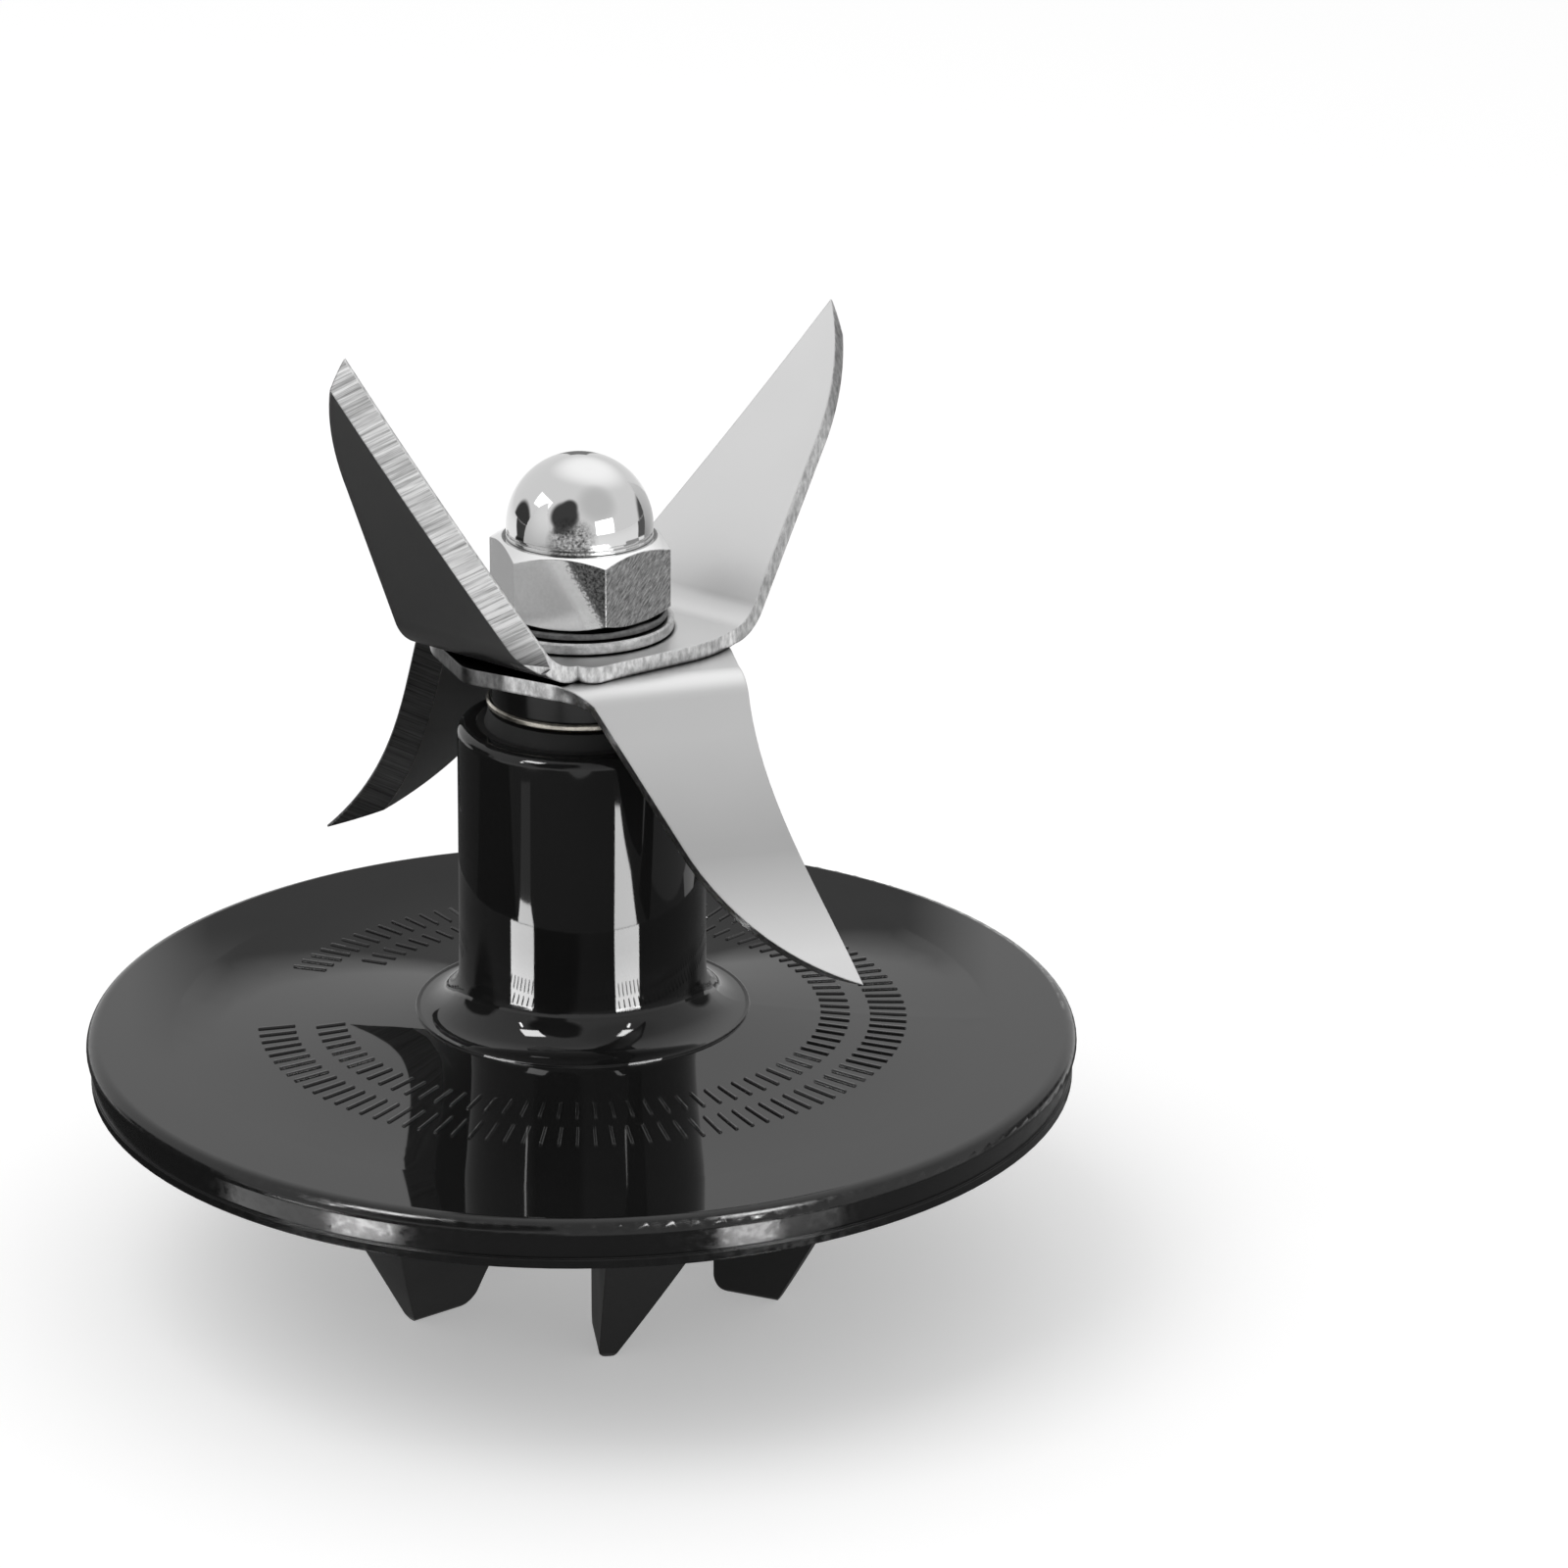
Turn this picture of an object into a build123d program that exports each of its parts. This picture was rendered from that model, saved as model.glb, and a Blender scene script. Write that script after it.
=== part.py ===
from build123d import *
from math import cos, radians, sin, tan
import os

# Blender blade assembly, in millimetres.
# The origin lies on the spindle axis, in the plane of the coupling's tooth tips; +Z points up into the jar.
# The spindle turns counter-clockwise seen from above, so each wing leads with its ground edge.

# Drive coupling
tooth_count = 6
tooth_height = 12.0
tooth_tip_width = 1.3
tooth_tip_round = 0.55
tooth_ramp_angle = 63.0
tooth_outer_radius = 17.3
tooth_inner_radius = 11.8
tooth_outer_flare = 28.6
tooth_inner_round = 1.6
tooth_azimuth = 38.0
coupling_web = 3.0
coupling_edge = 0.4
coupling_margin = 0.5
coupling_dish_depth = 1.0
coupling_dish_wall = 1.8
coupling_hub_radius = 8.6
coupling_hub_height = 10.0
coupling_hub_lip = 1.0
coupling_hub_chamfer = 0.8
insert_width = 11.0
insert_lip_radius = 4.6

# Spindle
journal_radius = 4.76
stud_radius = 3.97
stud_flats = 6.4
stud_chamfer = 0.6
spindle_foot = 0.5
running_clearance = 0.04
thrust_play = 0.05
seat_clearance = 0.02

# Retaining ring and lower thrust washers
ring_lift = 0.3
ring_thickness = 1.0
ring_radius = 7.4
ring_groove_depth = 0.6
ring_mouth = 6.6
ring_relief = 1.3
ring_relief_offset = 0.3
ring_relief_angle = 60.0
steel_washer_thickness = 0.8
steel_washer_radius = 7.2
nylon_washer_thickness = 0.8
nylon_washer_radius = 7.6

# Bushings
bushing_radius = 7.0
bushing_flange_radius = 8.4
bushing_flange = 1.4
bushing_proud = 0.35
lower_bushing_length = 9.6
upper_bushing_length = 9.0
upper_bushing_neck_radius = 6.2
bushing_chamfer = 0.4
relief_radius = 6.0

# Base moulding
disc_radius = 40.0
rim_height = 3.85
rim_round = 1.0
rim_straight = 0.1
rim_taper = 0.5
bead_height = 0.7
bead_inset = 0.3
land_width = 6.0
crown_rise = 1.1
plate_underside = 1.5
skirt_wall = 2.3
rib_count = 12
rib_width = 1.4
rib_recess = 0.3
rib_overlap = 0.5
ring_rib_radius = 27.0
boss_radius = 11.6
foot_radius = 13.5
foot_step = 0.2
foot_round = 3.2
column_foot_radius = 10.0
column_top_radius = 9.85
column_height = 24.3
column_round = 0.8

# Shaft seal
seal_wall = 1.55
seal_depth = 3.5
seal_lip_gap = 0.3
seal_lip_wall = 0.6
seal_lip_inset = 0.2
seal_lip_spread = 0.4
seal_lip_relief = 0.1
neck_height = 1.5

# Clamped stack
thrust_ring_thickness = 0.6
thrust_ring_radius = 7.5
spacer_height = 3.0
spacer_radius = 7.2
spacer_round = 0.3
flat_washer_thickness = 1.0
flat_washer_radius = 7.4
lock_washer_thickness = 0.6
lock_washer_radius = 6.9
lock_washer_slit = 0.8
washer_edge = 0.15

# Cap nut
nut_width = 12.7
nut_hex_height = 6.0
nut_chamfer_angle = 30.0
nut_face_inset = 0.2
nut_azimuth = -12.0
dome_radius = 5.8
dome_neck = 0.85
dome_groove = 0.25
thread_engagement = 8.0
thread_runout = 1.0

# Blades
sheet = 1.3
bend_steps = 6
bevel_width = 2.2
bevel_land = 0.2
cutter_margin = 1.0

upper_azimuth = 231.0
upper_fold = 9.35
upper_bend_radius = 3.0
upper_bevel_run_out = 1.6
upper_angles = (67.0, 57.0)
upper_tip = (-5.7, 27.2)
upper_lead_hub = 6.2
upper_lead_root = 5.2
upper_lead_middle = (-1.0, 15.6)
upper_trail = 9.35
upper_trail_hub = 9.5
upper_trail_bend = 15.0
upper_trail_middle = (-8.2, 22.4)
upper_shoulder = (7.15, 7.5)
upper_flank = (-4.2, 10.35)
upper_hub_rounds = (1.6, 10.0)

lower_azimuth = 288.0
lower_fold = 10.8
lower_bend_radius = 1.6
lower_bevel_run_out = 0.3
lower_angles = (-57.0, -60.0)
lower_tip = (15.5, 25.5)
lower_lead_root = 10.25
lower_lead_bends = ((11.0, 10.2), (11.3, 15.4))
lower_lead_middles = ((12.9, 17.2), (13.0, 21.3))
lower_trail_hub = 4.9
lower_trail_root = 2.2
lower_trail_bends = ((3.1, 13.5), (3.6, 13.3))
lower_flank = (4.3, 11.0)
lower_shoulder = (-3.4, 10.4)
lower_hub_rounds = (8.0, 3.0)

# How near an edge or corner must lie to a given place to be picked there
pick_tolerance = 0.01

# Heights up the spindle axis
coupling_top = tooth_height + coupling_web
insert_height = coupling_hub_height - coupling_hub_lip
insert_bottom = coupling_top - insert_height
ring_bottom = coupling_top + ring_lift
steel_washer_bottom = ring_bottom + ring_thickness
nylon_washer_bottom = steel_washer_bottom + steel_washer_thickness
lower_bushing_bottom = nylon_washer_bottom + nylon_washer_thickness + thrust_play
lower_bushing_shoulder = lower_bushing_bottom + bushing_flange
lower_bushing_top = lower_bushing_shoulder + lower_bushing_length
rim_bottom = lower_bushing_bottom + bushing_proud
rim_top = rim_bottom + rim_height
crown_top = rim_top + crown_rise
column_top = crown_top + column_height
seal_bottom = column_top - seal_depth
upper_bushing_bottom = seal_bottom - upper_bushing_length
upper_bushing_top = column_top + neck_height
thrust_ring_bottom = upper_bushing_top + thrust_play
spacer_bottom = thrust_ring_bottom + thrust_ring_thickness
lower_blade_bottom = spacer_bottom + spacer_height
lower_blade_top = lower_blade_bottom + sheet
upper_blade_top = lower_blade_top + sheet
lock_washer_bottom = upper_blade_top + flat_washer_thickness
nut_bottom = lock_washer_bottom + lock_washer_thickness
nut_hex_top = nut_bottom + nut_hex_height
stud_top = nut_bottom + thread_engagement

bore_radius = journal_radius + running_clearance
seal_radius = column_top_radius - seal_wall
stud_hole_radius = stud_radius + seat_clearance


def turned(*points):
    """A solid of revolution about the spindle axis from (radius, height) points."""
    return revolve(Plane.XZ * Polygon(*points, align=None), axis=Axis.Z)


def ring(inner_radius, outer_radius, bottom, height):
    """A plain washer or tube."""
    return Pos(0, 0, bottom) * extrude(Circle(outer_radius) - Circle(inner_radius), height)


def rim_edges(solid, radius, height):
    """The round edges of a turned solid at one radius and height."""
    return [
        edge
        for edge in solid.edges().filter_by(GeomType.CIRCLE)
        if abs(edge.radius - radius) < pick_tolerance
        and abs(edge.arc_center.Z - height) < pick_tolerance
    ]


def stud_section(clearance):
    """The round stud with two flats, as seen along its axis."""
    flats = Rectangle(stud_flats + 2 * clearance, 4 * stud_radius)
    return Circle(stud_radius + clearance) & flats


def base_housing():
    """Disc, column and underside of the base, moulded in one piece."""
    plate_bottom = rim_bottom + plate_underside
    land_inner = disc_radius - rim_round - land_width
    waist = disc_radius - rim_taper
    bead = disc_radius - bead_inset
    foot_top = crown_top + foot_step
    rim = Polyline(
        (bushing_flange_radius, rim_bottom),
        (boss_radius, rim_bottom),
        (boss_radius, plate_bottom),
        (disc_radius - skirt_wall, plate_bottom),
        (disc_radius - skirt_wall, rim_bottom),
        (bead, rim_bottom),
        (bead, rim_bottom + bead_height),
        (waist, rim_bottom + bead_height),
        (disc_radius, rim_top - rim_round - rim_straight),
        (disc_radius, rim_top),
        (land_inner, rim_top),
    )
    crown = TangentArc((land_inner, rim_top), (foot_radius, crown_top), tangent=(-1, 0))
    column = Polyline(
        (foot_radius, crown_top),
        (foot_radius, foot_top),
        (column_foot_radius, foot_top),
        (column_top_radius, column_top),
        (seal_radius, column_top),
        (seal_radius, seal_bottom),
        (bushing_radius, seal_bottom),
        (bushing_radius, upper_bushing_bottom),
        (relief_radius, upper_bushing_bottom),
        (relief_radius, lower_bushing_top),
        (bushing_radius, lower_bushing_top),
        (bushing_radius, lower_bushing_shoulder),
        (bushing_flange_radius, lower_bushing_shoulder),
        (bushing_flange_radius, rim_bottom),
    )
    body = revolve(Plane.XZ * make_face(rim + crown + column), axis=Axis.Z)
    body = fillet(rim_edges(body, disc_radius, rim_top), rim_round)
    body = fillet(rim_edges(body, column_foot_radius, foot_top), foot_round)
    body = fillet(rim_edges(body, column_top_radius, column_top), column_round)
    rib_height = plate_underside - rib_recess
    rib_inner = boss_radius - rib_overlap
    rib_outer = disc_radius - skirt_wall + rib_overlap
    rib = Box(rib_outer - rib_inner, rib_width, rib_height, align=(Align.MIN, Align.CENTER, Align.MAX))
    for place in PolarLocations(rib_inner, rib_count):
        body += place * Pos(0, 0, plate_bottom) * rib
    ring_rib_inner = ring_rib_radius - rib_width / 2
    ring_rib_outer = ring_rib_radius + rib_width / 2
    return body + ring(ring_rib_inner, ring_rib_outer, rim_bottom + rib_recess, rib_height)


def lower_bushing():
    """Flanged sintered bushing pressed into the underside."""
    body = turned(
        (bore_radius, lower_bushing_bottom),
        (bushing_flange_radius, lower_bushing_bottom),
        (bushing_flange_radius, lower_bushing_shoulder),
        (bushing_radius, lower_bushing_shoulder),
        (bushing_radius, lower_bushing_top),
        (bore_radius, lower_bushing_top),
    )
    return chamfer(rim_edges(body, bushing_radius, lower_bushing_top), bushing_chamfer)


def upper_bushing():
    """Sintered bushing whose neck carries the thrust ring above the column."""
    body = turned(
        (bore_radius, upper_bushing_bottom),
        (bushing_radius, upper_bushing_bottom),
        (bushing_radius, seal_bottom),
        (upper_bushing_neck_radius, seal_bottom),
        (upper_bushing_neck_radius, upper_bushing_top),
        (bore_radius, upper_bushing_top),
    )
    return chamfer(rim_edges(body, bushing_radius, upper_bushing_bottom), bushing_chamfer)


def shaft_seal():
    """Rubber ring in the column's top with a lip that reaches up to the thrust ring."""
    lip_top = thrust_ring_bottom - seal_lip_gap
    lip_outer = thrust_ring_radius - seal_lip_inset
    inner = upper_bushing_neck_radius + seat_clearance
    return turned(
        (inner, seal_bottom),
        (seal_radius, seal_bottom),
        (seal_radius, column_top),
        (lip_outer + seal_lip_spread, column_top),
        (lip_outer, lip_top),
        (lip_outer - seal_lip_wall, lip_top),
        (inner + seal_lip_relief, column_top),
        (inner, column_top),
    )


def spindle_shaft():
    """Stainless spindle: lower thread, journal with ring groove, and upper stud with flats."""
    foot = insert_bottom - spindle_foot
    body = turned(
        (0, foot),
        (stud_radius, foot),
        (stud_radius, coupling_top),
        (journal_radius, coupling_top),
        (journal_radius, ring_bottom),
        (journal_radius - ring_groove_depth, ring_bottom),
        (journal_radius - ring_groove_depth, steel_washer_bottom),
        (journal_radius, steel_washer_bottom),
        (journal_radius, thrust_ring_bottom),
        (stud_radius, thrust_ring_bottom),
        (stud_radius, stud_top),
        (0, stud_top),
    )
    body = chamfer(rim_edges(body, stud_radius, stud_top) + rim_edges(body, stud_radius, foot), stud_chamfer)
    flats_height = upper_blade_top - spacer_bottom
    sleeve = Circle(2 * stud_radius) - stud_section(0)
    return body - Pos(0, 0, spacer_bottom) * extrude(sleeve, flats_height)


def retaining_ring():
    """Snap ring in the spindle groove, open on one side."""
    inner = journal_radius - ring_groove_depth + seat_clearance
    relief_reach = inner + ring_relief_offset
    outline = Circle(ring_radius) - Circle(inner)
    outline -= Pos(-ring_radius, 0) * Rectangle(2 * ring_radius, ring_mouth)
    for place in PolarLocations(relief_reach, 2, start_angle=ring_relief_angle, angular_range=180):
        outline -= place * Circle(ring_relief)
    return Pos(0, 0, ring_bottom) * extrude(outline, ring_thickness)


def washer(inner_radius, outer_radius, bottom, thickness):
    """A stamped washer with its outer edges eased."""
    body = ring(inner_radius, outer_radius, bottom, thickness)
    edges = rim_edges(body, outer_radius, bottom) + rim_edges(body, outer_radius, bottom + thickness)
    return chamfer(edges, washer_edge)


def lock_washer():
    """Spring washer, flattened by the nut, with its slit."""
    body = washer(stud_hole_radius, lock_washer_radius, lock_washer_bottom, lock_washer_thickness)
    slit = Pos(-lock_washer_radius, 0, lock_washer_bottom) * Box(
        2 * lock_washer_radius, lock_washer_slit, 4 * lock_washer_thickness
    )
    return body - slit


def spacer_collar():
    """Black collar between the thrust ring and the lower blade, keyed by the flats."""
    outline = Circle(spacer_radius) - stud_section(seat_clearance)
    body = Pos(0, 0, spacer_bottom) * extrude(outline, spacer_height)
    return fillet(rim_edges(body, spacer_radius, lower_blade_bottom), spacer_round)


def cap_nut():
    """Domed nut: chamfered hexagon, turned neck and hemisphere, blind bore."""
    corner_radius = nut_width / 2 / cos(radians(30))
    face_radius = nut_width / 2 - nut_face_inset
    drop = (corner_radius - face_radius) * tan(radians(nut_chamfer_angle))
    hexagon = extrude(RegularPolygon(corner_radius, 6, rotation=nut_azimuth), nut_hex_height)
    turned_limit = turned(
        (0, 0),
        (face_radius, 0),
        (corner_radius, drop),
        (corner_radius, nut_hex_height - drop),
        (face_radius, nut_hex_height),
        (0, nut_hex_height),
    )
    body = hexagon & turned_limit
    dome_base = nut_hex_height + dome_neck
    dome_arc = CenterArc((0, dome_base), dome_radius, 0, 90)
    dome_sides = Polyline(dome_arc @ 1, (0, 0), (dome_radius, 0), dome_arc @ 0)
    dome = revolve(Plane.XZ * make_face(dome_arc + dome_sides), axis=Axis.Z)
    groove = ring(dome_radius - dome_groove, 2 * dome_radius, nut_hex_height + dome_neck / 3, dome_neck / 3)
    bore = extrude(Circle(stud_hole_radius), thread_engagement + thread_runout)
    return Pos(0, 0, nut_bottom) * (body + dome - groove - bore)


def coupling_tooth():
    """One saw tooth: steep driven face behind, ramp in front, flared outer end."""
    reach = tooth_height + coupling_web / 2
    ramp = reach / tan(radians(tooth_ramp_angle))
    half_tip = tooth_tip_width / 2
    saw = Polygon(
        (-half_tip, reach),
        (-half_tip, 0),
        (half_tip, 0),
        (half_tip + ramp, reach),
        align=None,
    )
    tip_corners = saw.vertices().filter_by(lambda corner: corner.Y < pick_tolerance)
    saw = fillet(tip_corners, tooth_tip_round)
    prism = extrude(Plane.YZ * saw, 2 * tooth_outer_radius)
    flare = reach * tan(radians(tooth_outer_flare))
    section = Polygon(
        (tooth_inner_radius, 0),
        (tooth_outer_radius, 0),
        (tooth_outer_radius + flare, reach),
        (tooth_inner_radius, reach),
        align=None,
    )
    inner_corner = section.vertices().sort_by(Axis.X).group_by(Axis.Y)[0][0]
    section = fillet(inner_corner, tooth_inner_round)
    return prism & revolve(Plane.XZ * section, axis=Axis.Z)


def drive_coupling():
    """Moulded coupling: web, hub around the metal insert, and a crown of saw teeth."""
    web_radius = tooth_outer_radius + tooth_height * tan(radians(tooth_outer_flare)) + coupling_margin
    hub_bottom = coupling_top - coupling_hub_height
    dish_bottom = coupling_top - coupling_dish_depth
    body = turned(
        (0, hub_bottom),
        (coupling_hub_radius, hub_bottom),
        (coupling_hub_radius, tooth_height),
        (web_radius, tooth_height),
        (web_radius, coupling_top),
        (web_radius - coupling_dish_wall, coupling_top),
        (web_radius - coupling_dish_wall, dish_bottom),
        (coupling_hub_radius, dish_bottom),
        (coupling_hub_radius, coupling_top),
        (0, coupling_top),
    )
    body = chamfer(rim_edges(body, coupling_hub_radius, hub_bottom), coupling_hub_chamfer)
    body = fillet(rim_edges(body, web_radius, tooth_height), coupling_edge)
    tooth = coupling_tooth()
    for step in range(tooth_count):
        body += Rot(0, 0, tooth_azimuth + step * 360 / tooth_count) * tooth
    insert_pocket = RegularPolygon(insert_width / 2 / cos(radians(30)), 6)
    body -= Pos(0, 0, insert_bottom) * extrude(insert_pocket, insert_height)
    body -= Pos(0, 0, hub_bottom) * extrude(Circle(insert_lip_radius), coupling_hub_lip)
    return body


def coupling_insert():
    """Threaded metal hexagon that carries the drive from the coupling to the spindle."""
    outline = RegularPolygon(insert_width / 2 / cos(radians(30)), 6) - Circle(stud_hole_radius)
    return Pos(0, 0, insert_bottom) * extrude(outline, insert_height)


def face_radii(angle, inside_radius):
    """Radii of the top and bottom faces round a bend, which folds up for a positive angle."""
    if angle > 0:
        return inside_radius, inside_radius + sheet
    return inside_radius + sheet, inside_radius


def fold_tangent(angle, inside_radius):
    """Distance from the fold line to where the top face of the bend ends."""
    return face_radii(angle, inside_radius)[0] * tan(radians(abs(angle) / 2))


def bend(fold, angle, inside_radius, hub_edges, wing_edges):
    """The curved strip between the flat hub and one wing; edges are (leading, trailing) places."""
    top_radius, bottom_radius = face_radii(angle, inside_radius)
    side = -1 if angle > 0 else 1
    centre_x = fold - fold_tangent(angle, inside_radius)
    centre_z = -side * top_radius
    sections = []
    for step in range(bend_steps + 1):
        share = step / bend_steps
        turn = radians(abs(angle) * share)
        lead = hub_edges[0] + (wing_edges[0] - hub_edges[0]) * share
        trail = hub_edges[1] + (wing_edges[1] - hub_edges[1]) * share
        top = (centre_x + top_radius * sin(turn), centre_z + side * top_radius * cos(turn))
        bottom = (centre_x + bottom_radius * sin(turn), centre_z + side * bottom_radius * cos(turn))
        corners = [
            (top[0], lead, top[1]),
            (top[0], trail, top[1]),
            (bottom[0], trail, bottom[1]),
            (bottom[0], lead, bottom[1]),
        ]
        sections.append(make_face(Polyline(*corners, close=True)))
    return loft(sections)


def wing(fold, angle, leading, trailing, run_out):
    """One flat wing and the cutter that grinds its bevel; the edge curves run from root to tip."""
    plane = Plane(origin=(fold, 0, 0), x_dir=(0, 1, 0), z_dir=(sin(radians(angle)), 0, -cos(radians(angle))))
    root = Line(leading @ 0, trailing @ 0)
    plate = extrude(make_face(leading + trailing + root), sheet)
    direction = leading % 0
    start = (leading @ 0) - direction * run_out
    slope = (sheet - bevel_land) / bevel_width
    high = sheet + slope * cutter_margin
    section = Polygon(
        (cutter_margin, bevel_land - slope * cutter_margin),
        (cutter_margin, high),
        (-bevel_width - cutter_margin, high),
        align=None,
    )
    across = Vector(direction.Y, -direction.X, 0)
    section_plane = Plane(origin=start, x_dir=across, z_dir=across.cross(Vector(0, 0, 1)))
    cutter = sweep(section_plane * section, path=Line(start, leading @ 0) + leading)
    return plane * plate, plane * cutter


def arm(fold, angle, inside_radius, leading, trailing, hub_edges, run_out):
    """A wing and its bend, ready to join the hub."""
    plate, cutter = wing(fold, angle, leading, trailing, run_out)
    wing_edges = ((leading @ 0).X, (trailing @ 0).X)
    return bend(fold, angle, inside_radius, hub_edges, wing_edges) + plate - cutter


def blade(hub_outline, arms, azimuth, top):
    """Hub and two arms, turned to their azimuth and pierced for the stud."""
    body = extrude(hub_outline, -sheet) + arms[0] + Rot(0, 0, 180) * arms[1]
    hole = extrude(stud_section(seat_clearance), 4 * sheet, both=True)
    return Pos(0, 0, top) * (Rot(0, 0, azimuth) * body - hole)


def upper_blade():
    """Blade with both wings folded up, one steeper than the other."""
    arms = []
    starts = []
    for angle in upper_angles:
        tangent = fold_tangent(angle, upper_bend_radius)
        leading = ThreePointArc((upper_lead_root, tangent), upper_lead_middle, upper_tip)
        trailing = Line((-upper_trail, tangent), (-upper_trail, upper_trail_bend))
        trailing += ThreePointArc((-upper_trail, upper_trail_bend), upper_trail_middle, upper_tip)
        arms.append(
            arm(
                upper_fold,
                angle,
                upper_bend_radius,
                leading,
                trailing,
                hub_edges=(upper_lead_hub, -upper_trail_hub),
                run_out=upper_bevel_run_out,
            )
        )
        starts.append(upper_fold - tangent)
    halves = []
    for near, far in (starts, starts[::-1]):
        halves.append(
            FilletPolyline(
                (near, upper_lead_hub),
                upper_shoulder,
                upper_flank,
                (-far, upper_trail_hub),
                radius=upper_hub_rounds,
            )
        )
    outline = halves[0] + Rot(0, 0, 180) * halves[1]
    outline += Line((starts[0], upper_lead_hub), (starts[0], -upper_trail_hub))
    outline += Line((-starts[1], -upper_lead_hub), (-starts[1], upper_trail_hub))
    return blade(make_face(outline), arms, upper_azimuth, upper_blade_top)


def lower_blade():
    """Blade with both wings folded down beside the column."""
    arms = []
    starts = []
    outlines = zip(lower_angles, lower_lead_bends, lower_lead_middles, lower_trail_bends)
    for angle, lead_bend, lead_middle, trail_bend in outlines:
        tangent = fold_tangent(angle, lower_bend_radius)
        leading = Spline((lower_lead_root, tangent), lead_bend, lead_middle, lower_tip)
        straight = Line((-lower_trail_root, tangent), trail_bend)
        trailing = straight + TangentArc(trail_bend, lower_tip, tangent=straight % 1)
        arms.append(
            arm(
                lower_fold,
                angle,
                lower_bend_radius,
                leading,
                trailing,
                hub_edges=(lower_lead_root, -lower_trail_hub),
                run_out=lower_bevel_run_out,
            )
        )
        starts.append(lower_fold - tangent)
    halves = []
    for near, far in (starts, starts[::-1]):
        halves.append(
            FilletPolyline(
                (near, lower_lead_root),
                lower_flank,
                lower_shoulder,
                (-far, lower_trail_hub),
                radius=lower_hub_rounds,
            )
        )
    outline = halves[0] + Rot(0, 0, 180) * halves[1]
    outline += Line((starts[0], lower_lead_root), (starts[0], -lower_trail_hub))
    outline += Line((-starts[1], -lower_lead_root), (-starts[1], lower_trail_hub))
    return blade(make_face(outline), arms, lower_azimuth, lower_blade_top)


steel_washer = (bore_radius, steel_washer_radius, steel_washer_bottom, steel_washer_thickness)
nylon_washer = (bore_radius, nylon_washer_radius, nylon_washer_bottom, nylon_washer_thickness)
thrust_ring = (stud_hole_radius, thrust_ring_radius, thrust_ring_bottom, thrust_ring_thickness)
flat_washer = (stud_hole_radius, flat_washer_radius, upper_blade_top, flat_washer_thickness)

parts = {
    "base_housing": base_housing(),
    "lower_bushing": lower_bushing(),
    "upper_bushing": upper_bushing(),
    "shaft_seal": shaft_seal(),
    "spindle_shaft": spindle_shaft(),
    "retaining_ring": retaining_ring(),
    "lower_steel_washer": washer(*steel_washer),
    "lower_nylon_washer": washer(*nylon_washer),
    "brass_thrust_ring": washer(*thrust_ring),
    "spacer_collar": spacer_collar(),
    "lower_blade": lower_blade(),
    "upper_blade": upper_blade(),
    "flat_washer": washer(*flat_washer),
    "lock_washer": lock_washer(),
    "cap_nut": cap_nut(),
    "drive_coupling": drive_coupling(),
    "coupling_insert": coupling_insert(),
}

os.makedirs("parts", exist_ok=True)
for name, solid in parts.items():
    export_step(solid, f"parts/{name}.step")
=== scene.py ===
from math import cos, pi, radians, sin, sqrt, tan

import bmesh
import bpy
from mathutils import Matrix, Vector


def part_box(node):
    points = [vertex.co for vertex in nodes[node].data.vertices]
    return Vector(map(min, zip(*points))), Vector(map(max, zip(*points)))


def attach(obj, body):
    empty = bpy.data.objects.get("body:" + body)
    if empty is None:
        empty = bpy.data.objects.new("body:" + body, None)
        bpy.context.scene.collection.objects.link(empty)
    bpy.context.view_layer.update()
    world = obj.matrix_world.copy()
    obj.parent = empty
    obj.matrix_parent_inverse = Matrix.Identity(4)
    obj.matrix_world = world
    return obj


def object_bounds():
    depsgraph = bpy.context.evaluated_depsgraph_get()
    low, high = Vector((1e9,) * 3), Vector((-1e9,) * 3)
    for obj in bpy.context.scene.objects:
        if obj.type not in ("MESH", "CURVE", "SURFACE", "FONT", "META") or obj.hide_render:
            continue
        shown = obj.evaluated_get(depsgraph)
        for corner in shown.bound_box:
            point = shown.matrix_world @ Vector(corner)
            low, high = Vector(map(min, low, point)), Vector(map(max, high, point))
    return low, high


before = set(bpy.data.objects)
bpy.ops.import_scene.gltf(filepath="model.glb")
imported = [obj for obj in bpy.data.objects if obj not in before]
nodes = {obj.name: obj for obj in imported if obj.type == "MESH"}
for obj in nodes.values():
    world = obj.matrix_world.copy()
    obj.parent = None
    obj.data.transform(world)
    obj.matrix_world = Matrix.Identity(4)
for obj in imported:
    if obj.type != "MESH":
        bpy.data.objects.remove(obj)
cad_low, cad_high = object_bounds()

MM = 0.001

# Camera: fitted to the disc's outline in the photograph, 1600 pixels wide
camera_distance = 420 * MM
camera_elevation = radians(19.95)
camera_roll = radians(0.40)
camera_offset = (-16.29 * MM, -19.15 * MM)
camera_target = Vector((0, 0, 21.75 * MM))
camera_clip = (0.01, 20)
focal_pixels = 5284.4
image_pixels = 1600
sensor_width = 36.0

# White surround: its strength for matt surfaces and for polished ones
world_fill = 0.72
world_gloss = 0.87

# Floor: its colour, its glow in cameras and polish, and half its width and its gap in millimetres
floor_colour = 0.8
floor_glow = 0.34
floor_half = 3000
floor_gap = 0.02

# What polished surfaces see of the studio: azimuth, elevation, half angle, softness, level
studio_panels = {
    "overhead": (70, 62, 20, 22, 1.32),
    "right_screen": (311, 44, 24, 12, 0.68),
    "camera": (252, 42, 12, 3, 0.06),
    "photographer": (246, 27, 22, 4, 0.06),
    "tripod": (244, 3, 13, 4, 0.08),
    "left_doorway": (168, -2, 21, 3, 0.05),
    "right_doorway": (36, -2, 16, 4, 0.1),
}

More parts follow.
